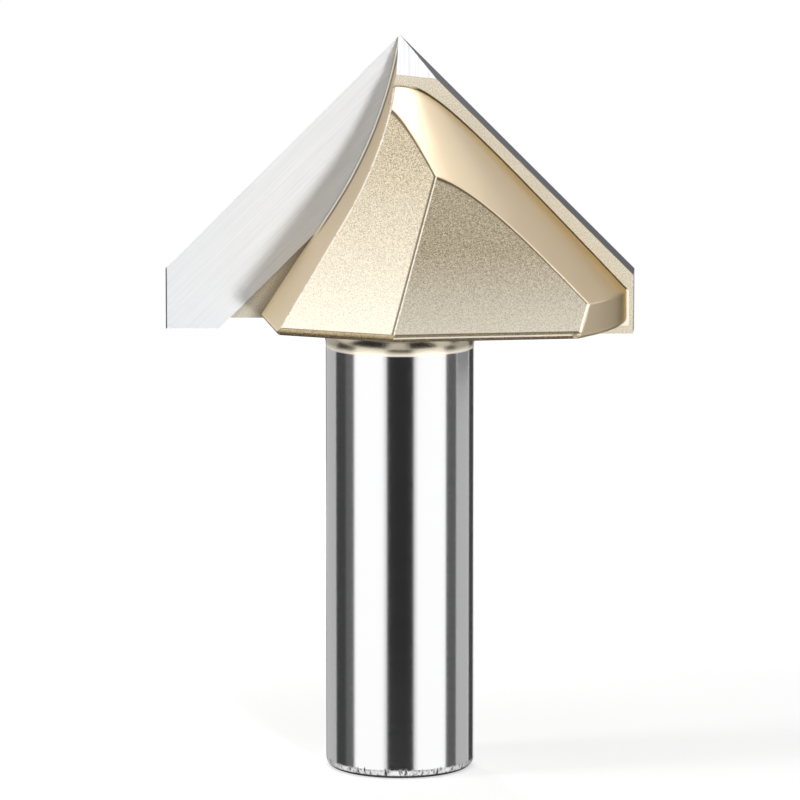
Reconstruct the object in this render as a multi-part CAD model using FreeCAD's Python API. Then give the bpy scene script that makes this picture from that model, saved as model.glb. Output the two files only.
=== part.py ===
"""Two-flute 90 degree V groove router bit, in millimetres.

The frame has its origin in the middle of the shank's end face, with +Z along
the axis towards the cutting point. Seen from the front (looking along +Y) the
left blade shows its rake face and the right blade its back.

The steel body is one turned and milled piece: a straight shank, a head with a
coned front, two chip flutes, two blade seats and two milled flats behind each
blade. A carbide blade is brazed into each seat. Everything on the head comes
twice, half a turn apart.
"""
import FreeCAD, Part
import math
import os

from FreeCAD import Vector

# Shank
shank_diameter = 12.7          # half inch collet
shank_length = 38.0            # from the end face to the lower ends of the blades
shank_end_round = 0.8
neck_fillet = 2.2              # between the shank and the head's underside

# Cutting size
cutting_diameter = 40.0
v_angle = 90.0                 # included angle at the point
edge_land = 5.2                # straight side edge below the V

# Blades
blade_thickness = 3.0
blade_width = 6.9              # square to the V edge
blade_overhang = 0.9           # the blades reach this far below the head
blade_past_axis = 1.0          # each blade runs past the axis, so the two overlap at the point
flank_clearance = 5.0          # degrees, behind the V edge
side_clearance = 4.0           # degrees, behind the side edge
point_relief = 46.0            # degrees, ground on the back of each blade at the point
point_relief_side = 6.0        # degrees, the same facet falling away from the axis

# Head
head_diameter = 39.0
head_rim_height = 2.85         # straight rim between the underside and the cone
head_cone_half_angle = 42.9    # a little steeper than the V, so that only carbide cuts
head_top_radius = 2.4          # the cone is cut short here, between the two blades

# Chip flutes: a straight run, then an arc up to the point
flute_lean = 33.0              # degrees from the axis, along the straight run
flute_point_lean = 9.0         # degrees from the axis, where the arc meets the point
flute_arc_radius = 38.0
flute_web = 0.14               # half of the steel left between the flutes at the point
flute_wall_rake = 8.5          # degrees, the wall opens outwards
flute_floor_drop = 0.2         # floor below the rake face, so that the blade stands proud

# Milled flats behind each blade: which way they face round the axis, their
# tilt towards the point, and their distance from the axis at the underside
leading_flat_azimuth = -113.3
leading_flat_tilt = 26.0
leading_flat_distance = 13.8
heel_flat_azimuth = -82.1
heel_flat_tilt = 20.2
heel_flat_distance = 14.5

# Broken edges
rim_round = 0.5                # turned, round the underside
foot_round = 0.45              # along the lower edges of the flats
edge_round = 0.25              # round the other milled edges

# Places that follow from the sizes above
shank_radius = shank_diameter / 2
cutting_radius = cutting_diameter / 2
head_radius = head_diameter / 2
v_slope = 1 / math.tan(math.radians(v_angle / 2))
blades_bottom = shank_length
underside = blades_bottom + blade_overhang
corner_height = blades_bottom + edge_land
point_height = corner_height + cutting_radius * v_slope
rim_top = underside + head_rim_height
cone_top = rim_top + (head_radius - head_top_radius) / math.tan(math.radians(head_cone_half_angle))
reach = 2 * cutting_radius     # longer than any cut on the head
touch = 0.001                  # places nearer to each other than this are the same
crease_angle = 5               # degrees, two faces that meet at less run on smoothly


def quarter_round(start, corner, end):
    """A quarter circle that rounds off a square corner, from start to end."""
    centre = start + end - corner
    return Part.Arc(start, centre + (corner - centre) * math.sqrt(0.5), end).toShape()


def turned_blank():
    """Shank, neck and coned head in one revolved profile."""
    def at(x, z):
        return Vector(x, 0, z)

    end, neck, rim = shank_end_round, neck_fillet, rim_round
    points = [
        at(shank_radius - end, 0), at(shank_radius, end),
        at(shank_radius, underside - neck), at(shank_radius + neck, underside),
        at(head_radius - rim, underside), at(head_radius, underside + rim),
        at(head_radius, rim_top), at(head_top_radius, cone_top), at(0, cone_top), at(0, 0),
    ]
    edges = [Part.makeLine(a, b) for a, b in zip(points, points[1:] + points[:1])]
    edges[0] = quarter_round(points[0], at(shank_radius, 0), points[1])
    edges[2] = quarter_round(points[2], at(shank_radius, underside), points[3])
    edges[4] = quarter_round(points[4], at(head_radius, underside), points[5])
    return Part.Face(Part.Wire(edges)).revolve(Vector(0, 0, 0), Vector(0, 0, 1), 360)


def other_side(shape):
    """The same shape half a turn round the axis."""
    turned = shape.copy()
    turned.rotate(Vector(0, 0, 0), Vector(0, 0, 1), 180)
    return turned


def flute(floor):
    """The space of the front flute, from a floor plane out past the head.

    Its wall follows a straight run that turns into an arc up to the point. The
    wall line is drawn in the rake plane and swept outwards, opening by the
    wall rake."""
    lean, top_lean = math.radians(flute_lean), math.radians(flute_point_lean)
    centre_x = -flute_web - flute_arc_radius * math.cos(top_lean)
    centre_z = point_height + flute_arc_radius * math.sin(top_lean)
    opening = math.tan(math.radians(flute_wall_rake))

    def on_floor(x, z):
        return Vector(x - floor * opening, floor, z)

    def on_arc(angle):
        return on_floor(centre_x + flute_arc_radius * math.cos(angle),
                        centre_z - flute_arc_radius * math.sin(angle))

    arc = Part.Arc(on_arc(top_lean), on_arc((lean + top_lean) / 2), on_arc(lean))
    start, turn = on_arc(top_lean), on_arc(lean)
    above = start + Vector(math.sin(top_lean), 0, math.cos(top_lean)) * cutting_radius
    drop = turn.z - (underside - neck_fillet)
    foot = turn + Vector(-drop * math.tan(lean), 0, -drop)
    corners = [foot, Vector(-reach, floor, foot.z), Vector(-reach, floor, above.z), above, start]
    edges = [arc.toShape(), Part.makeLine(turn, foot)]
    edges += [Part.makeLine(a, b) for a, b in zip(corners, corners[1:])]
    face = Part.Face(Part.Wire(Part.__sortEdges__(edges)))
    return face.extrude(Vector(reach * opening, -reach, 0))


def blade_outline(y, flank_inset, side_inset):
    """Outline of the right blade in the plane at y, with its two ground edges
    moved in by what the clearances take off there."""
    flank = flank_inset / math.sin(math.radians(v_angle / 2))
    inner = blade_width / math.sin(math.radians(v_angle / 2))
    side = cutting_radius - side_inset

    def v_line(x, below):
        return point_height - below - abs(x) * v_slope

    bottom_inner = (point_height - inner - blades_bottom) / v_slope
    past = -blade_past_axis
    corners = [
        (0, v_line(0, flank)),
        (side, v_line(side, flank)),
        (side, blades_bottom),
        (bottom_inner, blades_bottom),
        (past, point_height - inner - past * v_slope),
        (past, v_line(past, flank)),
    ]
    points = [Vector(x, y, z) for x, z in corners]
    return Part.makePolygon(points + points[:1])


def blade_plate():
    """The right blade before its end and its point are ground."""
    back = -blade_thickness
    flank_inset = blade_thickness * math.tan(math.radians(flank_clearance))
    side_inset = blade_thickness * math.tan(math.radians(side_clearance))
    front = blade_outline(0, 0, 0)
    rear = blade_outline(back, flank_inset, side_inset)
    return Part.makeLoft([front, rear], True, True)


def blade_seat():
    """The pocket that the right blade sits in, open at the V and at the side."""
    inner = blade_width / math.sin(math.radians(v_angle / 2))
    foot = (point_height - inner - blades_bottom) / v_slope
    past = -blade_past_axis
    corners = [
        (foot, blades_bottom),
        (past, point_height - inner - past * v_slope),
        (past, point_height + reach),
        (reach, point_height + reach),
        (reach, blades_bottom),
    ]
    points = [Vector(x, 0, z) for x, z in corners]
    return Part.Face(Part.makePolygon(points + points[:1])).extrude(Vector(0, -blade_thickness, 0))


def half_space(origin, outward):
    """A large block whose one face passes through origin and whose bulk lies
    on the outward side."""
    block = Part.makeBox(2 * reach, 2 * reach, reach, Vector(-reach, -reach, 0))
    block.Placement = FreeCAD.Placement(origin, FreeCAD.Rotation(Vector(0, 0, 1), outward))
    return block


def flat_cut(azimuth, tilt, distance):
    """What the milling of one flat takes away."""
    azimuth, tilt = math.radians(azimuth), math.radians(tilt)
    side = Vector(math.cos(azimuth), math.sin(azimuth), 0)
    outward = side * math.cos(tilt) + Vector(0, 0, math.sin(tilt))
    return half_space(side * distance + Vector(0, 0, underside), outward)


def point_cut():
    """What the point relief takes off the back of the right blade."""
    fall, side = math.radians(point_relief), math.radians(point_relief_side)
    outward = Vector(math.tan(side), -math.tan(fall), 1)
    return half_space(Vector(0, 0, point_height), outward)


def middle(edge):
    return edge.valueAt((edge.FirstParameter + edge.LastParameter) / 2)


def is_crease(shape, edge):
    """Whether the two faces at an edge meet at an angle there."""
    faces = shape.ancestorsOfType(edge, Part.Face)
    if len(faces) != 2:
        return False
    normals = [face.normalAt(*face.Surface.parameter(middle(edge))) for face in faces]
    return normals[0].getAngle(normals[1]) > math.radians(crease_angle)


def flat_feet(shape):
    """The straight lower edges of the milled flats."""
    def at_foot(edge):
        point = middle(edge)
        return (abs(point.z - underside) < touch and abs(point.y) > shank_radius
                and edge.Length > blade_thickness and isinstance(edge.Curve, Part.Line))

    return [edge for edge in shape.Edges if at_foot(edge) and is_crease(shape, edge)]


def head_edges(shape):
    """The creases on the outside of the head, behind the blades: between the
    flats, along the flute's mouth and where the head meets a blade's back. The
    flute wall's foot stays sharp."""
    def outside(edge):
        point = middle(edge)
        behind = abs(point.y) - blade_thickness
        wall_foot = abs(point.z - underside) < touch and behind > touch
        return (point.z > underside - touch and behind > -touch
                and not wall_foot and not lies_in_seat(edge))

    return [edge for edge in shape.Edges if outside(edge) and is_crease(shape, edge)]


def lies_in_seat(edge):
    """An edge inside the pocket, where the blade covers it."""
    point = middle(edge)
    inner = blade_width / math.sin(math.radians(v_angle / 2))
    return (abs(abs(point.y) - blade_thickness) < touch
            and (abs(point.z - point_height + inner + abs(point.x) * v_slope) < touch
                 or abs(abs(point.x) - blade_past_axis) < touch))


def soften(shape, pick, radius):
    """Round the edges that `pick` finds, more finely where they can't take it."""
    for size in (radius, radius / 2):
        try:
            rounded = shape.makeFillet(size, pick(shape))
        except Exception:
            continue
        if rounded.isValid() and rounded.Volume > 0.9 * shape.Volume:
            return rounded
    return shape


def build_body():
    body = turned_blank()
    cuts = [
        flute(flute_floor_drop),
        blade_seat(),
        flat_cut(leading_flat_azimuth, leading_flat_tilt, leading_flat_distance),
        flat_cut(heel_flat_azimuth, heel_flat_tilt, heel_flat_distance),
    ]
    for cut in cuts:
        body = body.cut(cut).cut(other_side(cut))
    body = soften(body.removeSplitter(), flat_feet, foot_round)
    return soften(body, head_edges, edge_round)


def build_blade():
    """The right blade. The flute wall runs on over its end at the point."""
    return blade_plate().cut(flute(0)).cut(point_cut())


def main():
    os.makedirs("parts", exist_ok=True)
    blade = build_blade()
    nodes = {
        "cutter_body": build_body(),
        "carbide_blade_right": blade,
        "carbide_blade_left": other_side(blade),
    }
    for name, shape in nodes.items():
        shape.exportStep("parts/%s.step" % name)


main()
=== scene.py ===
"""Looks of the two-flute V groove router bit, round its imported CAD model.

The three CAD nodes keep their shapes. Each is given the finishes that its faces
have on the real bit: a polished shank, a champagne coat that is smooth where
the steel was turned and matt where it was milled and blasted, and bare ground
carbide.
"""

import math

import bmesh
import bpy
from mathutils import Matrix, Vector

bl_info = {
    "name": "V Groove Router Bit",
    "version": (1, 0, 0),
    "blender": (4, 5, 0),
    "location": "3D View > Sidebar > Router Bit",
    "description": "Finishes for a two-flute V groove router bit and a plain studio round it",
    "category": "Object",
}

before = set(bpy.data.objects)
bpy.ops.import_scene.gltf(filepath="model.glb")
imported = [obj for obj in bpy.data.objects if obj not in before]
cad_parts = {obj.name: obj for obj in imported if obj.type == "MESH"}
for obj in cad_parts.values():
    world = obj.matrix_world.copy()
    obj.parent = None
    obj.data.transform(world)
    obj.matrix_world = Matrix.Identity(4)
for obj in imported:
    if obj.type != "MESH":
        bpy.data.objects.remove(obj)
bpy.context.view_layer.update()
BODY = "cutter_body"
BLADES = ("carbide_blade_left", "carbide_blade_right")
MM = 0.001

# How the CAD faces lie, by which the finishes are handed out
CONE_HALF_ANGLE = math.radians(42.9)
LEADING_FLAT = (-113.3, 26.0, 13.8 * MM)   # compass angle, tilt upwards, distance from the axis
HEEL_FLAT = (-82.1, 20.2, 14.5 * MM)
WALL_FOOT = (0.0, 33.0, 12.0 * MM)         # plane through the straight foot of the back flute's wall
WALL_RAKE = math.radians(8.5)
WALL_RISE = (0.1, 0.6)                     # least and most that a flute wall's normal points upwards
RIM_ROUND = 0.5 * MM
FOOT_BAND = 0.7 * MM                       # from the underside up, over the flats' rounded feet
JUST_UNDER = 0.05 * MM
ON_SURFACE = 0.1 * MM
MOSTLY = 0.5                               # least share of a normal that points mostly one way
SAME_WAY = math.cos(math.radians(1.5))
SQUARE = math.sin(math.radians(1.5))
LEVEL = 0.99                               # least height of a level face's normal
NEAR_THE_CONE = math.cos(math.radians(32))   # with the broken edge beside a flat
NEAR_THE_RIM = math.cos(math.radians(16))
DIAGONAL = math.sqrt(0.5)

# Slots of the body's finishes and of a blade's
TURNED, MILLED, LEADING, HEEL, FLUTE_FLOOR, UNDER_LEADING, UNDER_HEEL, EDGE_HIGHLIGHT, SHANK = range(9)
RAKE, EDGE, RELIEF, BACK, END = range(5)

# A noise texture stays mostly between these two values
NOISE_LOW, NOISE_HIGH = 0.3, 0.7
WHITE = (1.0, 1.0, 1.0, 1.0)


def linear(hex_colour):
    """An sRGB hex value as linear red, green, blue and alpha."""
    channels = [int(hex_colour[i:i + 2], 16) / 255 for i in (1, 3, 5)]
    return (*[c / 12.92 if c <= 0.04045 else ((c + 0.055) / 1.055) ** 2.4 for c in channels], 1.0)


def add_node(tree, kind, inputs=None, output=None, **settings):
    """Adds one node. `inputs` maps a socket's name or number to a value, or to
    the output that is linked into it. Returns the node, or the output asked for.

    A MapRange takes its value at 0, the range it comes from at 1 and 2, and the
    range it goes to at 3 and 4. A Mix takes its share at 0 and its two values
    at 2 and 3, or for colours at 6 and 7, and gives the colour at 2."""
    node = tree.nodes.new("ShaderNode" + kind)
    for name, value in settings.items():
        setattr(node, name, value)
    for name, value in (inputs or {}).items():
        if isinstance(value, bpy.types.NodeSocket):
            tree.links.new(value, node.inputs[name])
        else:
            node.inputs[name].default_value = value
    return node if output is None else node.outputs[output]


def new_material(name):
    """A material with an empty node tree."""
    material = bpy.data.materials.new(name)
    material.use_nodes = True
    material.node_tree.nodes.clear()
    return material, material.node_tree


def length(name, description, default):
    """A setting that holds a length in metres."""
    return bpy.props.FloatProperty(name=name, description=description, default=default,
                                   min=0.0, unit="LENGTH", precision=5)


def colour(name, description, default):
    """A setting that holds a colour, whose default is an sRGB hex value."""
    return bpy.props.FloatVectorProperty(name=name, description=description, size=4,
                                         default=linear(default), min=0.0, max=1.0,
                                         subtype="COLOR")


class BodySettings(bpy.types.PropertyGroup):
    """Sizes and colours of the steel body's finishes."""
    steel: colour("Steel", "Bare polished shank", "#E3E3E4")
    coat: colour("Coat", "Smooth champagne coat", "#E4D2B5")
    coat_edge: colour("Coat, edge on", "Smooth coat where it is seen edge on", "#E8D4B0")
    # Painted reflection: the blade's back as mirrored in the cone beside it
    coat_blade_reflection: colour("Coat, blade reflection", "Smooth coat painted straw-brown as a reflection of the blade's back", "#C8B48E")
    wall_low: colour("Wall, low", "Coat on a flute wall at its lower end", "#F2DCB6")
    wall_high: colour("Wall, high", "Coat on a flute wall at the point", "#CDB48A")
    # Painted highlight: the pale coat that draws light lines on edges, seams and feet
    coat_highlight: colour("Coat, highlight", "Coat painted pale as a highlight along edges and lines", "#FFF6E6")
    grit_dark: colour("Grit, dark", "Blasted coat between the grains", "#96866A")
    grit_light: colour("Grit, light", "Blasted coat on the grains", "#EBDDC2")
    # Painted light: blasted coat drawn paler low on the head
    grit_painted_light: colour("Grit, pale", "Blasted coat painted paler low on the head, as painted light", "#FFF8E6")
    # Painted shade: the flats' downward-facing feet are drawn darker
    foot_shade_dark: colour("Foot, dark", "Blasted coat under the flats, between the grains, darkened as painted shade", "#5F5139")
    foot_shade_light: colour("Foot, light", "Blasted coat under the flats, on the grains, darkened as painted shade", "#B5A380")
    back_dark: colour("Back, dark", "Coat on a blade's back, between the grains", "#C6BAA1")
    back_light: colour("Back, light", "Coat on a blade's back, on the grains", "#F0E8D7")
    # Real braze at the blade joints; elsewhere the same colour is painted shade
    braze_and_shade: colour("Braze", "Dark lines of braze, and painted shade along edges, feet and flute floors", "#5E4C30")
    neck: colour("Neck", "Thin coat on the neck", "#D2C8B4")
    # Painted highlight and painted shade on the rounded end; the ticks are its tool marks
    end_highlight: colour("Shank end, light", "Turned steel on the rounded end, painted pale as a highlight", "#FFFFFF")
    end_dark_and_shade: colour("Shank end, dark", "Dark in the tool marks, and painted shade along the end's edge", "#3A3A3C")
    end_marks: length("End marks", "Distance between tool marks on the rounded end", 0.22 * MM)
    grit: length("Grit size", "Grain size of the blasted faces", 0.1 * MM)
    coat_line: length("Coat line", "Height on the shank where the coat ends", 36.5 * MM)
    neck_radius: length("Neck radius", "Faces inside this radius are shank and neck", 8.6 * MM)
    underside: length("Underside", "Height of the head's underside", 38.9 * MM)
    rim_radius: length("Rim radius", "Radius of the head", 19.5 * MM)
    rim_top: length("Rim top", "Height at which the rim meets the cone", 41.75 * MM)
    cone_top: length("Cone top", "Height of the cone's point, were it not cut", 62.73 * MM)
    head_top: length("Head top", "Height at which the cone is cut short", 60.15 * MM)
    # Painted light on the blasted coat reaches up to these heights
    painted_light_top: length("Painted light top", "Height below which the blasted coat is painted paler", 54.0 * MM)
    heel_painted_light_top: length("Painted light top, heel", "The same on a heel flat", 46.0 * MM)
    wall_brown_start: length("Wall browning", "Height above which a flute wall turns browner", 42.0 * MM)
    # The painted highlight and shadow lines on a flute wall's foot fade out below this height
    foot_lines_end: length("Foot lines end", "Height below which a flute wall stands clear of the blade", 47.1 * MM)
    blade_back: length("Blade back", "Distance of a blade's back from the axis", 3.0 * MM)


class BladeSettings(bpy.types.PropertyGroup):
    """Sizes and colours of the carbide blades' finishes."""
    rake_light: colour("Rake face, light", "Light lines of the brushed rake face", "#EEEFF1")
    rake_dark: colour("Rake face, dark", "Dark lines of the brushed rake face", "#E3E5E7")
    # Painted shade: the ground edges are the same carbide as the rake face, drawn dark grey
    edge_light: colour("Edge, light", "Light lines of the ground edges", "#7F7F86")
    edge_dark: colour("Edge, dark", "Dark lines of the ground edges", "#66666C")
    relief_light: colour("Relief, light", "Light lines of the point relief", "#E2E2E4")
    relief_dark: colour("Relief, dark", "Dark lines of the point relief", "#C2C2C5")
    honed: colour("Honed strip", "Strip along the side edge", "#55555A")
    lines: length("Grinding lines", "Distance between grinding lines", 0.14 * MM)
    hone: length("Hone", "The honed strip starts at this distance from the axis", 19.87 * MM)


class StageSettings(bpy.types.PropertyGroup):
    """The floor, the ring of cards, the lamps and the camera."""
    floor: colour("Floor", "Plain paper floor", "#F4F4F4")
    floor_size: length("Floor size", "Side of the square floor", 4.0)
    card_distance: length("Card distance", "Radius of the ring of cards", 0.15)
    camera_distance: length("Camera distance", "From the lens to the axis of the bit", 0.56)
    camera_aim: length("Camera aim", "Height on the axis at the middle of the frame", 31.82 * MM)
    camera_tilt: bpy.props.FloatProperty(name="Camera tilt", description="How far the camera looks down",
                                         default=math.radians(9), subtype="ANGLE")
    lens: bpy.props.FloatProperty(name="Lens", description="Focal length on a 36 mm frame, in mm",
                                  default=294.6, min=1.0)


# Materials

def polished_steel(s):
    """Centreless ground and polished tool steel: a near mirror that shows the
    studio as long clean stripes. It was masked at the coat line, and above it
    the thin coat on the neck is grainy and duller."""
    material, tree = new_material("Polished tool steel, coated neck")
    place = add_node(tree, "TexCoord", output="Object")
    height = add_node(tree, "SeparateXYZ", {0: place}, "Z")
    # The masked line wavers a little, over spots about a millimetre wide
    spot, waver = 1.1 * MM, 0.08 * MM
    spots = add_node(tree, "TexNoise", {"Vector": place, "Scale": 1 / spot, "Detail": 2.0}, 0)
    edge = add_node(tree, "Math", {0: spots, 1: waver, 2: height}, 0, operation="MULTIPLY_ADD")
    coated = add_node(tree, "MapRange", {0: edge, 1: s.coat_line, 2: s.coat_line + waver}, 0)
    # Polishing marks run round the shank. Real ones are microns apart; they are
    # drawn 0.12 mm apart, so that they show at all.
    marks_apart, marks_round = 0.12 * MM, 60.0   # the second is per metre
    stretch = (marks_round, marks_round, 1 / marks_apart)
    stretched = add_node(tree, "VectorMath", {0: place, 1: stretch}, 0, operation="MULTIPLY")
    marks = add_node(tree, "TexNoise", {"Vector": stretched, "Scale": 1.0, "Detail": 3.0}, 0)
    gloss = add_node(tree, "MapRange", {0: marks, 1: NOISE_LOW, 2: NOISE_HIGH, 3: 0.12, 4: 0.16}, 0)
    grains = add_node(tree, "TexNoise", {"Vector": place, "Scale": 1 / s.grit, "Detail": 2.0}, 0)
    dull = add_node(tree, "MapRange", {0: grains, 1: NOISE_LOW, 2: NOISE_HIGH, 3: 0.18, 4: 0.26}, 0)
    rough = add_node(tree, "Mix", {0: coated, 2: gloss, 3: dull}, 0)
    pits = add_node(tree, "Math", {0: coated, 1: grains}, 0, operation="MULTIPLY")
    bump = add_node(tree, "Bump", {"Strength": 0.25, "Distance": 0.02 * MM, "Height": pits}, 0)
    # A painted highlight, pale and less metallic than the rest, lies on the coat's lip at the masked line
    lip_highlight_full, lip_highlight_end = s.coat_line + 0.2 * MM, s.coat_line + 0.55 * MM
    past_lip_highlight = add_node(tree, "MapRange", {0: edge, 1: lip_highlight_full, 2: lip_highlight_end}, 0)
    on_lip_highlight = add_node(tree, "Math", {0: coated, 1: past_lip_highlight}, 0, operation="SUBTRACT")
    metallic = add_node(tree, "MapRange", {0: on_lip_highlight, 3: 1.0, 4: 0.35}, 0)
    coat = add_node(tree, "Mix", {0: past_lip_highlight, 6: s.coat_highlight, 7: s.neck}, 2, data_type="RGBA")
    tint = add_node(tree, "Mix", {0: coated, 6: s.steel, 7: coat}, 2, data_type="RGBA")
    # The end was rounded on a lathe. Its tool marks draw dark ticks and a ragged
    # top on a band painted pale as a highlight, and the edge under it has painted shade.
    ragged_by, band_full, band_end = 0.8 * MM, 1.08 * MM, 1.24 * MM
    end_shade_full, end_shade_end = 0.26 * MM, 0.36 * MM
    stretch = (1 / s.end_marks, 1 / s.end_marks, 0.1 / s.end_marks)
    upright = add_node(tree, "VectorMath", {0: place, 1: stretch}, 0, operation="MULTIPLY")
    ticks = add_node(tree, "TexNoise", {"Vector": upright, "Scale": 1.0, "Detail": 3.0}, 0)
    ragged = add_node(tree, "Math", {0: ticks, 1: ragged_by, 2: height}, 0, operation="MULTIPLY_ADD")
    turned = add_node(tree, "MapRange", {0: ragged, 1: band_full, 2: band_end, 3: 1.0, 4: 0.0}, 0)
    # Painted shade along the end's edge
    off_end_shade = add_node(tree, "MapRange", {0: height, 1: end_shade_full, 2: end_shade_end}, 0)
    darkest, palest = 0.34, 0.52   # of the noise
    # Painted highlight between the dark tool-mark ticks
    highlight_share = add_node(tree, "MapRange", {0: ticks, 1: darkest, 2: palest}, 0)
    highlight_share = add_node(tree, "Math", {0: highlight_share, 1: off_end_shade}, 0, operation="MULTIPLY")
    end_tint = add_node(tree, "Mix", {0: highlight_share, 6: s.end_dark_and_shade, 7: s.end_highlight}, 2, data_type="RGBA")
    tint = add_node(tree, "Mix", {0: turned, 6: tint, 7: end_tint}, 2, data_type="RGBA")
    rough = add_node(tree, "Mix", {0: turned, 2: rough, 3: 0.4}, 0)
    metallic = add_node(tree, "Mix", {0: turned, 2: metallic, 3: 0.35}, 0)
    shader = add_node(tree, "BsdfPrincipled",
                      {"Base Color": tint, "Metallic": metallic, "Roughness": rough, "Normal": bump}, 0)
    add_node(tree, "OutputMaterial", {"Surface": shader})
    return material


def orange_peel(tree, place, dull, duller):
    """Roughness and bump of a sprayed coat, whose surface waves very slightly."""
    wave, depth = 0.5 * MM, 0.01 * MM
    peel = add_node(tree, "TexNoise", {"Vector": place, "Scale": 1 / wave, "Detail": 2.0}, 0)
    rough = add_node(tree, "MapRange", {0: peel, 1: NOISE_LOW, 2: NOISE_HIGH, 3: dull, 4: duller}, 0)
    return rough, add_node(tree, "Bump", {"Strength": 0.05, "Distance": depth, "Height": peel}, 0)


def from_axis(tree, axes):
    """How far a place lies from the axis, given its coordinates one by one."""
    level = add_node(tree, "CombineXYZ", {0: axes.outputs["X"], 1: axes.outputs["Y"]}, 0)
    return add_node(tree, "VectorMath", {0: level}, "Value", operation="LENGTH")


def turned_coat(s):
    """Champagne release coat over turned steel: satin metal whose gloss
    stretches into soft wide highlights, with a faint orange peel. Towards the
    blade's back it is painted straw-brown, a painted reflection of the blade's
    back, and a dark line of braze edges it."""
    material, tree = new_material("Smooth champagne coat on turned steel")
    place = add_node(tree, "TexCoord", output="Object")
    rough, bump = orange_peel(tree, place, 0.29, 0.34)
    axes = add_node(tree, "SeparateXYZ", {0: place})
    side = add_node(tree, "Math", {0: axes.outputs["Y"]}, 0, operation="ABSOLUTE")
    off_blade = add_node(tree, "Math", {0: side, 1: s.blade_back}, 0, operation="SUBTRACT")
    radius = from_axis(tree, axes)
    spread = add_node(tree, "Math", {0: off_blade, 1: radius}, 0, operation="DIVIDE")
    brownest, palest = 0.03, 0.22   # distance off the blade, as a share of the radius
    # Painted reflection of the blade's back, strongest next to it
    brown_share = add_node(tree, "MapRange", {0: spread, 1: brownest, 2: palest, 3: 1.0, 4: 0.0}, 0,
                    interpolation_type="SMOOTHSTEP")
    tint = add_node(tree, "Mix", {0: brown_share, 6: s.coat, 7: s.coat_blade_reflection}, 2, data_type="RGBA")
    line_full, line_end = 0.04 * MM, 0.12 * MM
    line = add_node(tree, "MapRange", {0: off_blade, 1: line_full, 2: line_end, 3: 1.0, 4: 0.0}, 0)
    tint = add_node(tree, "Mix", {0: line, 6: tint, 7: s.braze_and_shade}, 2, data_type="RGBA")
    shader = add_node(tree, "BsdfPrincipled",
                      {"Base Color": tint, "Metallic": 0.85, "Roughness": rough,
                       "Specular Tint": s.coat_edge, "Normal": bump}, 0)
    add_node(tree, "OutputMaterial", {"Surface": shader})
    return material


def milled_coat(s):
    """The same coat over a milled flute wall: paler and softer, because the
    cutter's steps under it scatter the gloss. It is browner towards the point.
    Along the foot, where it stands on the blade, it has a light line between two
    dark ones: a painted highlight on the blade's edge, between painted shadows."""
    material, tree = new_material("Smooth champagne coat on milled steel")
    place = add_node(tree, "TexCoord", output="Object")
    rough, bump = orange_peel(tree, place, 0.3, 0.36)
    axes = add_node(tree, "SeparateXYZ", {0: place})
    height = axes.outputs["Z"]
    brown_share = add_node(tree, "MapRange", {0: height, 1: s.wall_brown_start, 2: s.head_top}, 0)
    plain = add_node(tree, "Mix", {0: brown_share, 6: s.wall_low, 7: s.wall_high}, 2, data_type="RGBA")
    out = add_node(tree, "Math", {0: axes.outputs["Y"]}, 0, operation="ABSOLUTE")
    # How far out from the foot the painted highlight lies, and where the painted shadow ends
    light_middle, light_half_width = 0.55 * MM, 0.42 * MM
    dark_full, dark_end = 1.6 * MM, 1.9 * MM
    # Painted highlight between painted shadow lines
    highlight_share = add_node(tree, "Math", {0: out, 1: light_middle, 2: light_half_width}, 0, operation="COMPARE")
    lines = add_node(tree, "Mix", {0: highlight_share, 6: s.braze_and_shade, 7: s.coat_highlight}, 2, data_type="RGBA")
    at_foot = add_node(tree, "MapRange", {0: out, 1: dark_full, 2: dark_end, 3: 1.0, 4: 0.0}, 0)
    none_below, full_above = s.foot_lines_end - 1.0 * MM, s.foot_lines_end + 0.5 * MM
    on_blade = add_node(tree, "MapRange", {0: height, 1: none_below, 2: full_above}, 0)
    share = add_node(tree, "Math", {0: at_foot, 1: on_blade}, 0, operation="MULTIPLY")
    tint = add_node(tree, "Mix", {0: share, 6: plain, 7: lines}, 2, data_type="RGBA")
    shader = add_node(tree, "BsdfPrincipled",
                      {"Base Color": tint, "Metallic": 0.3, "Roughness": rough, "Normal": bump}, 0)
    add_node(tree, "OutputMaterial", {"Surface": shader})
    return material


def edge_highlight_coat(s):
    """The coat along the head's broken edges, painted pale as a highlight, so
    that each edge draws a light line."""
    material, tree = new_material("Champagne coat painted pale at the edges")
    place = add_node(tree, "TexCoord", output="Object")
    rough, bump = orange_peel(tree, place, 0.24, 0.34)
    shader = add_node(tree, "BsdfPrincipled",
                      {"Base Color": s.coat_highlight, "Metallic": 0.3, "Roughness": rough, "Normal": bump}, 0)
    add_node(tree, "OutputMaterial", {"Surface": shader})
    return material


def grains_and_pits(tree, place, size):
    """The share of light grain at a place, and the bump that goes with it."""
    pit_depth = 0.02 * MM
    grains = add_node(tree, "TexNoise", {"Vector": place, "Scale": 1 / size, "Detail": 1.0}, 0)
    light = add_node(tree, "MapRange", {0: grains, 1: NOISE_LOW, 2: NOISE_HIGH}, 0)
    return light, add_node(tree, "Bump", {"Strength": 0.5, "Distance": pit_depth, "Height": grains}, 0)


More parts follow.
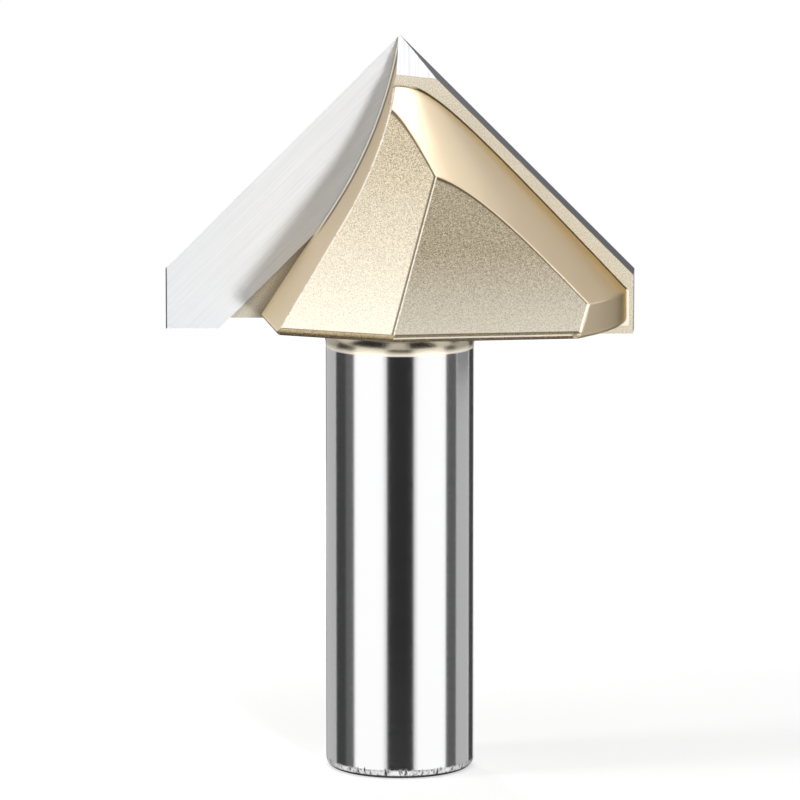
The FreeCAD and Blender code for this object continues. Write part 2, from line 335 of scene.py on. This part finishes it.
def past_outline(tree, place, s):
    """How far a place lies outside the head's turned outline, below zero inside."""
    axes = add_node(tree, "SeparateXYZ", {0: place})
    radius = from_axis(tree, axes)
    drop = add_node(tree, "Math", {0: s.cone_top, 1: axes.outputs["Z"]}, 0, operation="SUBTRACT")
    reach = add_node(tree, "Math", {0: drop, 1: -math.sin(CONE_HALF_ANGLE)}, 0, operation="MULTIPLY")
    past_cone = add_node(tree, "Math", {0: radius, 1: math.cos(CONE_HALF_ANGLE), 2: reach}, 0,
                         operation="MULTIPLY_ADD")
    past_rim = add_node(tree, "Math", {0: radius, 1: s.rim_radius}, 0, operation="SUBTRACT")
    past_top = add_node(tree, "Math", {0: axes.outputs["Z"], 1: s.head_top}, 0, operation="SUBTRACT")
    outside = add_node(tree, "Math", {0: past_cone, 1: past_rim}, 0, operation="MAXIMUM")
    return add_node(tree, "Math", {0: outside, 1: past_top}, 0, operation="MAXIMUM")


def past_flat(tree, place, s, flat):
    """How far a place lies outside a flat where y is below zero, or outside its
    twin half a turn on where y is above zero."""
    azimuth, tilt, distance = flat
    across = add_node(tree, "SeparateXYZ", {0: place}, "Y")
    side = add_node(tree, "Math", {0: across}, 0, operation="SIGN")
    turn = add_node(tree, "Math", {0: side, 1: -1.0}, 0, operation="MULTIPLY")
    turned = add_node(tree, "CombineXYZ", {0: turn, 1: turn, 2: 1.0}, 0)
    front = add_node(tree, "VectorMath", {0: place, 1: turned}, 0, operation="MULTIPLY")
    outward = facing(azimuth, tilt)
    out = add_node(tree, "VectorMath", {0: front, 1: outward}, "Value", operation="DOT_PRODUCT")
    plane = distance * math.cos(math.radians(tilt)) + s.underside * math.sin(math.radians(tilt))
    return add_node(tree, "Math", {0: out, 1: plane}, 0, operation="SUBTRACT")


def blasted_coat(s, name, pale_top, on_flat=True, beside=None):
    """The same coat over milled and blasted steel: grit pits break the gloss
    into fine light and dark grains. Low on the head, up to pale_top, it is
    painted paler as painted light. On a flat, dark lines of painted shade follow
    the turned outline, the foot and the edge to a flat beside it. On a flute
    floor a soft painted shade gathers along the wall's foot."""
    material, tree = new_material(name)
    place = add_node(tree, "TexCoord", output="Object")
    light, bump = grains_and_pits(tree, place, s.grit)
    tint = add_node(tree, "Mix", {0: light, 6: s.grit_dark, 7: s.grit_light}, 2, data_type="RGBA")
    height = add_node(tree, "SeparateXYZ", {0: place}, "Z")
    # Painted light: paler towards the underside
    low_light_share = add_node(tree, "MapRange", {0: height, 1: s.underside, 2: pale_top, 3: 1.0, 4: 0.0}, 0)
    cover = add_node(tree, "MapRange", {0: light, 3: 0.6}, 0)
    share = add_node(tree, "Math", {0: low_light_share, 1: cover}, 0, operation="MULTIPLY")
    tint = add_node(tree, "Mix", {0: share, 6: tint, 7: s.grit_painted_light}, 2, data_type="RGBA")
    if on_flat:
        # The rounded edge at a flat's foot starts about 0.6 mm above the underside
        foot = s.underside + 0.57 * MM
        past_foot = add_node(tree, "Math", {0: foot, 1: height}, 0, operation="SUBTRACT")
        past_edges = [past_outline(tree, place, s), past_foot]
        if beside:
            past_edges.append(past_flat(tree, place, s, beside))
        # Painted shade: a dark line beside each rounded edge of the flat
        line_start, line_full = -0.15 * MM, -0.1 * MM
        for past_edge in past_edges:
            line = add_node(tree, "MapRange", {0: past_edge, 1: line_start, 2: line_full, 4: 0.85}, 0)
            tint = add_node(tree, "Mix", {0: line, 6: tint, 7: s.braze_and_shade}, 2, data_type="RGBA")
    else:
        # Painted shade on the flute floor along the wall's foot
        shade_width = 1.2 * MM
        off_wall = past_flat(tree, place, s, WALL_FOOT)
        floor_shade = add_node(tree, "MapRange", {0: off_wall, 1: 0.0, 2: shade_width, 3: 0.6, 4: 0.0}, 0,
                         interpolation_type="SMOOTHSTEP")
        tint = add_node(tree, "Mix", {0: floor_shade, 6: tint, 7: s.braze_and_shade}, 2, data_type="RGBA")
    shader = add_node(tree, "BsdfPrincipled",
                      {"Base Color": tint, "Metallic": 0.55, "Roughness": 0.4, "Normal": bump}, 0)
    add_node(tree, "OutputMaterial", {"Surface": shader})
    return material


def blasted_foot(s, name, highlight_height, half_width):
    """The blasted coat where it rounds a flat's lower edge: painted dark between
    the grains as painted shade, more so lower down, with a pale line of painted
    highlight at a height above the underside."""
    material, tree = new_material(name)
    place = add_node(tree, "TexCoord", output="Object")
    light, bump = grains_and_pits(tree, place, s.grit)
    height = add_node(tree, "SeparateXYZ", {0: place}, "Z")
    # Painted shade: darker towards the underside
    low, high = s.underside + 0.1 * MM, s.underside + 0.6 * MM
    higher = add_node(tree, "MapRange", {0: height, 1: low, 2: high, 3: -0.5, 4: 0.4}, 0)
    share = add_node(tree, "Math", {0: light, 1: higher}, 0, operation="ADD", use_clamp=True)
    tint = add_node(tree, "Mix", {0: share, 6: s.foot_shade_dark, 7: s.foot_shade_light}, 2, data_type="RGBA")
    # Painted highlight line
    on_highlight_line = add_node(tree, "Math", {0: height, 1: s.underside + highlight_height, 2: half_width}, 0,
                       operation="COMPARE")
    tint = add_node(tree, "Mix", {0: on_highlight_line, 6: tint, 7: s.coat_highlight}, 2, data_type="RGBA")
    shader = add_node(tree, "BsdfPrincipled",
                      {"Base Color": tint, "Metallic": 0.6, "Roughness": 0.35, "Normal": bump}, 0)
    add_node(tree, "OutputMaterial", {"Surface": shader})
    return material


def coated_carbide(s):
    """Champagne coat on a blade's back: matt, pale and finely grained. It has a
    line where it meets the head, but not near the point."""
    material, tree = new_material("Champagne coat on carbide")
    place = add_node(tree, "TexCoord", output="Object")
    light, bump = grains_and_pits(tree, place, s.grit)
    tint = add_node(tree, "Mix", {0: light, 6: s.back_dark, 7: s.back_light}, 2, data_type="RGBA")
    axes = add_node(tree, "SeparateXYZ", {0: place})
    height = axes.outputs["Z"]
    # The head's broken edge stands back from the turned outline, the more so the
    # sharper it is, which is nearer to the axis: 0.07 mm at 10 mm from the axis
    stands_back = 0.07 * MM * 10 * MM
    broken = add_node(tree, "Math", {0: stands_back, 1: from_axis(tree, axes)}, 0, operation="DIVIDE")
    past_edge = add_node(tree, "Math", {0: past_outline(tree, place, s), 1: broken}, 0)
    below = add_node(tree, "Math", {0: s.underside, 1: height}, 0, operation="SUBTRACT")
    past_edge = add_node(tree, "Math", {0: past_edge, 1: below}, 0, operation="MAXIMUM")
    # The line is braze and dark beside the cone; beside the rim it is wider and pale, a painted highlight
    rim_width, cone_width = 0.2 * MM, 0.12 * MM
    on_cone = add_node(tree, "MapRange", {0: height, 1: s.rim_top, 2: s.rim_top + 0.1 * MM}, 0)
    width = add_node(tree, "MapRange", {0: on_cone, 3: rim_width, 4: cone_width}, 0)
    near = add_node(tree, "Math", {0: past_edge, 1: width}, 0, operation="LESS_THAN")
    none_inside, full_outside = 1.0 * MM, 1.6 * MM   # of the axis
    off_axis = add_node(tree, "Math", {0: axes.outputs["X"]}, 0, operation="ABSOLUTE")
    off_point = add_node(tree, "MapRange", {0: off_axis, 1: none_inside, 2: full_outside}, 0)
    line = add_node(tree, "Math", {0: near, 1: off_point}, 0, operation="MULTIPLY")
    beside = add_node(tree, "Mix", {0: on_cone, 6: s.coat_highlight, 7: s.braze_and_shade}, 2, data_type="RGBA")
    tint = add_node(tree, "Mix", {0: line, 6: tint, 7: beside}, 2, data_type="RGBA")
    shader = add_node(tree, "BsdfPrincipled",
                      {"Base Color": tint, "Metallic": 0.2, "Roughness": 0.45, "Normal": bump}, 0)
    add_node(tree, "OutputMaterial", {"Surface": shader})
    return material


def ground_carbide(name, light, dark, spacing, lengthwise, crosswise, rough, metallic, depth,
                   strip=None):
    """Ground tungsten carbide: hard grey metal with fine straight wheel marks.
    `lengthwise` and `crosswise` weigh |x|, |y| and z, so one pattern serves
    both blades. A strip, given as where it starts and its colour, is honed dark
    along the side edge."""
    material, tree = new_material(name)
    place = add_node(tree, "TexCoord", output="Object")
    folded = add_node(tree, "VectorMath", {0: place}, 0, operation="ABSOLUTE")
    run = add_node(tree, "VectorMath", {0: folded, 1: lengthwise}, "Value", operation="DOT_PRODUCT")
    step = add_node(tree, "VectorMath", {0: folded, 1: crosswise}, "Value", operation="DOT_PRODUCT")
    flat = add_node(tree, "CombineXYZ", {0: run, 1: step}, 0)
    # Fine marks and, under them, fainter broad ones: how long and how far apart
    layers = []
    for streak, gap in ((9 * MM, spacing), (30 * MM, 5 * spacing)):
        stretch = (1 / streak, 1 / gap, 1.0)
        scaled = add_node(tree, "VectorMath", {0: flat, 1: stretch}, 0, operation="MULTIPLY")
        layers.append(add_node(tree, "TexNoise", {"Vector": scaled, "Scale": 1.0, "Detail": 4.0,
                                                  "Roughness": 0.65}, 0))
    fine, broad = layers
    broad_share, darkest, lightest = 0.4, 0.52, 0.88   # the last two of the sum
    both = add_node(tree, "Math", {0: broad, 1: broad_share, 2: fine}, 0, operation="MULTIPLY_ADD")
    shade = add_node(tree, "MapRange", {0: both, 1: darkest, 2: lightest}, 0)
    tint = add_node(tree, "Mix", {0: shade, 6: dark, 7: light}, 2, data_type="RGBA")
    if strip:
        start, honed = strip
        full = start + 0.03 * MM
        side = add_node(tree, "SeparateXYZ", {0: folded}, "X")
        on_strip = add_node(tree, "MapRange", {0: side, 1: start, 2: full}, 0)
        tint = add_node(tree, "Mix", {0: on_strip, 6: tint, 7: honed}, 2, data_type="RGBA")
    bump = add_node(tree, "Bump", {"Strength": 0.3, "Distance": depth, "Height": both}, 0)
    shader = add_node(tree, "BsdfPrincipled",
                      {"Base Color": tint, "Metallic": metallic, "Roughness": rough, "Normal": bump}, 0)
    add_node(tree, "OutputMaterial", {"Surface": shader})
    return material


# The bit

def facing(azimuth, tilt):
    """The direction of a compass angle and a tilt upwards, in degrees."""
    a, t = math.radians(azimuth), math.radians(tilt)
    return Vector((math.cos(a) * math.cos(t), math.sin(a) * math.cos(t), math.sin(t)))


def half_turn(v):
    """A direction turned by 180 degrees round the axis."""
    return Vector((-v.x, -v.y, v.z))


def along(normal, way):
    """How nearly a normal points along a direction, or its twin half a turn on."""
    return max(normal.dot(way), normal.dot(half_turn(way)))


def is_flute_wall(normal):
    """Whether a face lies on a flute wall, which was swept in one direction."""
    sweep = Vector((math.sin(WALL_RAKE), -math.cos(WALL_RAKE), 0))
    least, most = WALL_RISE
    return abs(normal.dot(sweep)) < SQUARE and least < normal.z < most


def is_turned(middle, normal, s):
    """Whether a face lies on the turned outline: on the cone or its cut top, the
    rim, the round under it, or the underside."""
    cos, sin = math.cos(CONE_HALF_ANGLE), math.sin(CONE_HALF_ANGLE)
    radius = math.hypot(middle.x, middle.y)
    off_cone = radius * cos - (s.cone_top - middle.z) * sin
    out = Vector((middle.x, middle.y, 0)).normalized()
    upward = out * cos + Vector((0, 0, sin))
    on_cone = abs(off_cone) < ON_SURFACE and normal.dot(upward) > NEAR_THE_CONE
    on_rim = abs(radius - s.rim_radius) < ON_SURFACE and normal.dot(out) > NEAR_THE_RIM
    at_foot = radius > s.rim_radius - RIM_ROUND and middle.z < s.underside + RIM_ROUND
    return on_cone or on_rim or at_foot or abs(normal.z) > LEVEL


def put_finishes(node, finishes, zone):
    """Gives the node its materials, slot by slot. `zone` returns the slot of a
    face from its middle and its normal."""
    mesh = node.data
    if not len(mesh.polygons):
        raise RuntimeError("CAD node %s has no faces" % node.name)
    node.material_slots[0].material = finishes[0]
    for slot in range(1, len(finishes)):
        mesh.materials.append(finishes[slot])
    mesh.polygons.foreach_set("material_index", [zone(f.center, f.normal) for f in mesh.polygons])
    mesh.update()


class ROUTERBIT_OT_body(bpy.types.Operator):
    """Finish the steel body: bare shank, smooth coat and blasted coat"""
    bl_idname = "routerbit.body"
    bl_label = "Finish the steel body"

    def execute(self, context):
        s = context.scene.router_bit_body
        # A flat's foot has a painted highlight line at this height above the
        # underside, this much to either side
        leading_highlight, heel_highlight = (0.1 * MM, 0.03 * MM), (0.38 * MM, 0.07 * MM)
        coat = "Blasted champagne coat, "
        finishes = {
            TURNED: turned_coat(s),
            MILLED: milled_coat(s),
            LEADING: blasted_coat(s, coat + "leading flat", s.painted_light_top, beside=HEEL_FLAT),
            HEEL: blasted_coat(s, coat + "heel flat", s.heel_painted_light_top),
            FLUTE_FLOOR: blasted_coat(s, coat + "flute floor", s.painted_light_top, on_flat=False),
            UNDER_LEADING: blasted_foot(s, coat + "under the leading flat", *leading_highlight),
            UNDER_HEEL: blasted_foot(s, coat + "under the heel flat", *heel_highlight),
            EDGE_HIGHLIGHT: edge_highlight_coat(s),
            SHANK: polished_steel(s),
        }
        leading, heel = facing(*LEADING_FLAT[:2]), facing(*HEEL_FLAT[:2])
        neck_top, foot_top = s.underside - JUST_UNDER, s.underside + FOOT_BAND

        def zone(middle, normal):
            if math.hypot(middle.x, middle.y) < s.neck_radius and middle.z < neck_top:
                return SHANK
            if along(normal, leading) > SAME_WAY:
                return LEADING
            if along(normal, heel) > SAME_WAY:
                return HEEL
            if abs(normal.y) > SAME_WAY:
                return FLUTE_FLOOR
            if is_flute_wall(normal):
                return MILLED
            if is_turned(middle, normal, s):
                return TURNED
            if middle.z < foot_top and normal.z < MOSTLY:
                return UNDER_LEADING if along(normal, leading) > along(normal, heel) else UNDER_HEEL
            # Broken edges, painted pale as a highlight
            return EDGE_HIGHLIGHT

        put_finishes(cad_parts[BODY], finishes, zone)
        return {"FINISHED"}


class ROUTERBIT_OT_blades(bpy.types.Operator):
    """Finish the carbide blades: brushed rake, ground edges, coated back"""
    bl_idname = "routerbit.blades"
    bl_label = "Finish the carbide blades"

    def execute(self, context):
        s = context.scene.router_bit_blades
        body = context.scene.router_bit_body
        v_edge, off_v_edge = (DIAGONAL, 0, -DIAGONAL), (DIAGONAL, 0, DIAGONAL)
        sideways, outwards, upwards = (1, 0, 0), (0, 1, 0), (0, 0, 1)
        finishes = {
            RAKE: ground_carbide(
                "Brushed carbide rake face", s.rake_light, s.rake_dark, s.lines, v_edge, off_v_edge,
                rough=0.4, metallic=0.12, depth=0.005 * MM, strip=(s.hone, s.honed)),
            # Painted shade: dark greys where the flank mirrors a dark part of the studio
            EDGE: ground_carbide(
                "Ground carbide edge", s.edge_light, s.edge_dark, s.lines, v_edge, outwards,
                rough=0.3, metallic=1.0, depth=0.003 * MM),
            RELIEF: ground_carbide(
                "Ground carbide relief", s.relief_light, s.relief_dark, 1.6 * s.lines, upwards, sideways,
                rough=0.35, metallic=0.35, depth=0.005 * MM),
            BACK: coated_carbide(body),
            END: bpy.data.materials["Smooth champagne coat on milled steel"],
        }
        for name in BLADES:
            left = name.endswith("left")

            def zone(middle, normal, left=left):
                n = half_turn(normal) if left else normal
                if n.y > SAME_WAY:
                    return RAKE
                if n.y < -SAME_WAY:
                    return BACK
                # Ground back and up at the point, and outwards along the side edge
                if n.y < -MOSTLY and n.z > MOSTLY or abs(n.z) < MOSTLY < n.x:
                    return RELIEF
                return END if n.x < 0 and is_flute_wall(n) else EDGE

            put_finishes(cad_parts[name], finishes, zone)
        return {"FINISHED"}


# Stage

# One card of the ring: from and to (degrees, 0 behind the camera, positive to
# its right), bottom and top (metres), and how bright it looks in the metal.
CARDS = (
    ("flag", -20, 21, -0.045, 0.03, 0.03),
    ("left_softbox", -73, -25, -0.045, 0.03, 1.3),
    ("right_softbox", 26, 74, -0.045, 0.03, 1.3),
    ("left_grey", -92, -75, -0.045, 0.03, 0.14),
    ("left_dark", -117, -92, -0.045, 0.03, 0.06),
    ("left_rear_grey", -163, -118, -0.045, 0.03, 0.56),
    ("left_rear_dark", -180, -163, -0.045, 0.03, 0.05),
    ("right_grey", 75, 97, -0.045, 0.03, 0.12),
    ("right_rear_grey", 98, 131, -0.045, 0.012, 0.56),
    ("right_rear_brown", 98, 131, 0.012, 0.03, 0.22),
    ("right_rear_dark", 133, 158, -0.045, 0.03, 0.06),
    ("right_rear_edge", 158, 180, -0.045, 0.03, 0.8),
    ("upper_flag", -24, 36, 0.03, 0.21, 0.08),
    ("upper_left_softbox", -80, -25, 0.03, 0.165, 1.7),
    ("upper_left_rear", -180, -135, 0.03, 0.12, 1.5),
    ("upper_right_softbox", 37, 75, 0.03, 0.2, 1.2),
    ("upper_right_rear", 120, 180, 0.03, 0.09, 0.3),
    ("high_right_rear", 100, 180, 0.09, 0.2, 0.66),
    ("low_front", -80, 80, -0.06, -0.045, 0.8),
    ("low_rear", 80, 280, -0.06, -0.045, 0.6),
    ("lower_rear_left", -180, -130, -0.25, -0.06, 0.02),
    ("lower_left_light", -130, -92, -0.25, -0.06, 0.9),
    ("lower_left", -92, -24, -0.25, -0.06, 0.02),
    ("lower_light", -24, 14, -0.25, -0.06, 0.8),
    ("lower_right", 14, 64, -0.25, -0.06, 0.02),
    ("lower_right_light", 64, 98, -0.25, -0.06, 0.9),
    ("lower_rear_right", 98, 180, -0.25, -0.06, 0.02),
)

# One level round card: height and radius (metres), and how bright it looks.
ROUND_CARDS = (
    ("overhead_softbox", 0.35, 0.12, 3.4),
    ("under_card", -0.25, 0.1, 1.0),
    ("under_flag", -0.26, 0.2, 0.3),
)

# One lamp: its direction round the bit and its angle above the point it shines
# on (degrees), its distance from there and its size (metres), and its power
# (watts). The key lamp is near, small and low, so that the flute wall throws a
# soft shadow on the rake face. The rear lamp does the same on the other side.
LAMPS = (
    ("key_lamp", 16, -10, 0.16, 0.02, 0.18),
    ("rear_lamp", 196, -10, 0.16, 0.02, 0.14),
    ("left_lamp", -75, 12, 0.5, 0.15, 0.72),
    ("top_lamp", -30, 65, 0.7, 0.5, 0.4),
)
CARD_STEP = 3                 # degrees, about, between the flat strips of a bent card
LIT_HEIGHT = 45 * MM          # on the axis, where all lamps shine
WORLD_LIGHT = 0.25            # what the world gives a matt surface; it is seen at 1
FLOOR_LIFT = (0.54, 0.78)     # near the bit, where the lamps light the floor too, and away from it
LIFT_REACH = (0.05, 0.16)     # metres from the axis, between the two lifts
FRAME_WIDTH = 36.0            # mm, of the camera's frame


def add_mesh(name, shape, material):
    """A stage object of that bmesh and material."""
    mesh = bpy.data.meshes.new(name)
    shape.to_mesh(mesh)
    shape.free()
    mesh.materials.append(material)
    piece = bpy.data.objects.new(name, mesh)
    bpy.context.scene.collection.objects.link(piece)
    return piece


def add_panel(name, shape, level):
    """A panel that glows evenly and is seen only in reflections."""
    material, tree = new_material("Card, " + name.replace("_", " "))
    light = add_node(tree, "Emission", {"Color": WHITE, "Strength": level}, 0)
    add_node(tree, "OutputMaterial", {"Surface": light})
    panel = add_mesh(name, shape, material)
    panel.visible_camera = False
    panel.visible_diffuse = False
    panel.visible_shadow = False


def card(name, start, end, bottom, top, level, distance):
    """One upright card, bent round the bit."""
    shape = bmesh.new()
    ends = [shape.verts.new(around(start, 0, distance, z)) for z in (bottom, top)]
    edge = shape.edges.new(ends)
    bmesh.ops.spin(shape, geom=[edge] + ends, axis=(0, 0, 1), cent=(0, 0, 0),
                   angle=math.radians(end - start), steps=round((end - start) / CARD_STEP))
    add_panel(name, shape, level)


def round_card(name, height, radius, level):
    """A level round card over or under the bit."""
    shape = bmesh.new()
    bmesh.ops.create_circle(shape, cap_ends=True, segments=32, radius=radius)
    bmesh.ops.translate(shape, verts=shape.verts, vec=(0, 0, height))
    add_panel(name, shape, level)


def area_lamp(name, azimuth, elevation, distance, size, power):
    """A round soft lamp. The metal shows the cards, not the lamps."""
    lamp = bpy.data.lights.new(name, "AREA")
    lamp.shape, lamp.size, lamp.energy = "DISK", size, power
    holder = bpy.data.objects.new(name, lamp)
    holder.location = around(azimuth, elevation, distance, LIT_HEIGHT)
    aim = Vector((0, 0, LIT_HEIGHT)) - holder.location
    holder.rotation_euler = aim.to_track_quat("-Z", "Y").to_euler()
    holder.visible_glossy = False
    bpy.context.scene.collection.objects.link(holder)


def around(azimuth, elevation, distance, height):
    """A point round the bit: azimuth 0 is the camera's side, positive to its right."""
    return facing(azimuth - 90, elevation) * distance + Vector((0, 0, height))


def seen_or_mirrored(tree):
    """The output that is 1 for a ray from the camera, a mirror or glass."""
    ray = add_node(tree, "LightPath").outputs
    seen = add_node(tree, "Math", {0: ray["Is Camera Ray"], 1: ray["Is Glossy Ray"]}, 0, operation="MAXIMUM")
    return add_node(tree, "Math", {0: seen, 1: ray["Is Transmission Ray"]}, 0, operation="MAXIMUM")


class ROUTERBIT_OT_stage(bpy.types.Operator):
    """Build the plain studio: floor, ring of cards, lamps, world and camera"""
    bl_idname = "routerbit.stage"
    bl_label = "Build the studio"

    def execute(self, context):
        s = context.scene.router_bit_stage
        self.floor(s)
        for values in CARDS:
            card(*values, s.card_distance)
        for values in ROUND_CARDS:
            round_card(*values)
        for values in LAMPS:
            area_lamp(*values)
        self.world(context.scene)
        self.camera(context.scene, s)
        return {"FINISHED"}

    def floor(self, s):
        """White paper. The lift makes its lit part as white as the world, and
        leaves the bit's shadow. Near the bit the lamps light the floor more, so
        the lift is less there."""
        shape = bmesh.new()
        bmesh.ops.create_grid(shape, x_segments=1, y_segments=1, size=s.floor_size / 2)
        material, tree = new_material("Matt white paper floor")
        paper = add_node(tree, "BsdfDiffuse", {"Color": s.floor}, 0)
        place = add_node(tree, "TexCoord", output="Object")
        away = add_node(tree, "VectorMath", {0: place}, "Value", operation="LENGTH")
        level = add_node(tree, "MapRange", {0: away, 1: LIFT_REACH[0], 2: LIFT_REACH[1],
                                            3: FLOOR_LIFT[0], 4: FLOOR_LIFT[1]}, 0)
        lift = add_node(tree, "Math", {0: seen_or_mirrored(tree), 1: level}, 0, operation="MULTIPLY")
        glow = add_node(tree, "Emission", {"Strength": lift}, 0)
        both = add_node(tree, "AddShader", {0: paper, 1: glow}, 0)
        add_node(tree, "OutputMaterial", {"Surface": both})
        floor = add_mesh("floor", shape, material)
        floor.visible_glossy = False

    def world(self, scene):
        """White where it is seen or mirrored, and a soft even light elsewhere."""
        world = bpy.data.worlds.new("Studio")
        world.use_nodes = True
        tree = world.node_tree
        tree.nodes.clear()
        strength = add_node(tree, "MapRange", {0: seen_or_mirrored(tree), 3: WORLD_LIGHT, 4: 1.0}, 0)
        background = add_node(tree, "Background", {"Color": WHITE, "Strength": strength}, 0)
        add_node(tree, "OutputWorld", {"Surface": background})
        scene.world = world

    def camera(self, scene, s):
        """A long lens that looks down a little at the bit's axis."""
        data = bpy.data.cameras.new("camera")
        data.lens, data.sensor_width = s.lens, FRAME_WIDTH
        data.clip_start, data.clip_end = 0.01, 20.0
        camera = bpy.data.objects.new("camera", data)
        camera.location = around(0, math.degrees(s.camera_tilt), s.camera_distance, s.camera_aim)
        camera.rotation_euler = (math.pi / 2 - s.camera_tilt, 0, 0)
        scene.collection.objects.link(camera)
        scene.camera = camera


class ROUTERBIT_PT_panel(bpy.types.Panel):
    """The bit's pieces, in the order they are made"""
    bl_label = "Router Bit"
    bl_idname = "ROUTERBIT_PT_panel"
    bl_space_type = "VIEW_3D"
    bl_region_type = "UI"
    bl_category = "Router Bit"

    def draw(self, context):
        for operator in OPERATORS:
            self.layout.operator(operator.bl_idname)
        for group in SETTINGS:
            settings = getattr(context.scene, group)
            for name in settings.bl_rna.properties.keys():
                if name not in ("rna_type", "name"):
                    self.layout.prop(settings, name)


OPERATORS = (ROUTERBIT_OT_body, ROUTERBIT_OT_blades, ROUTERBIT_OT_stage)
SETTINGS = {"router_bit_body": BodySettings, "router_bit_blades": BladeSettings,
            "router_bit_stage": StageSettings}
CLASSES = (*SETTINGS.values(), *OPERATORS, ROUTERBIT_PT_panel)


def register():
    for cls in CLASSES:
        bpy.utils.register_class(cls)
    for name, group in SETTINGS.items():
        setattr(bpy.types.Scene, name, bpy.props.PointerProperty(type=group))


def unregister():
    for name in SETTINGS:
        delattr(bpy.types.Scene, name)
    for cls in reversed(CLASSES):
        bpy.utils.unregister_class(cls)


def main():
    register()
    bpy.ops.routerbit.body()
    bpy.ops.routerbit.blades()
    bpy.ops.routerbit.stage()
    bpy.context.scene.view_settings.view_transform = "Standard"


if __name__ == "__main__":
    main()
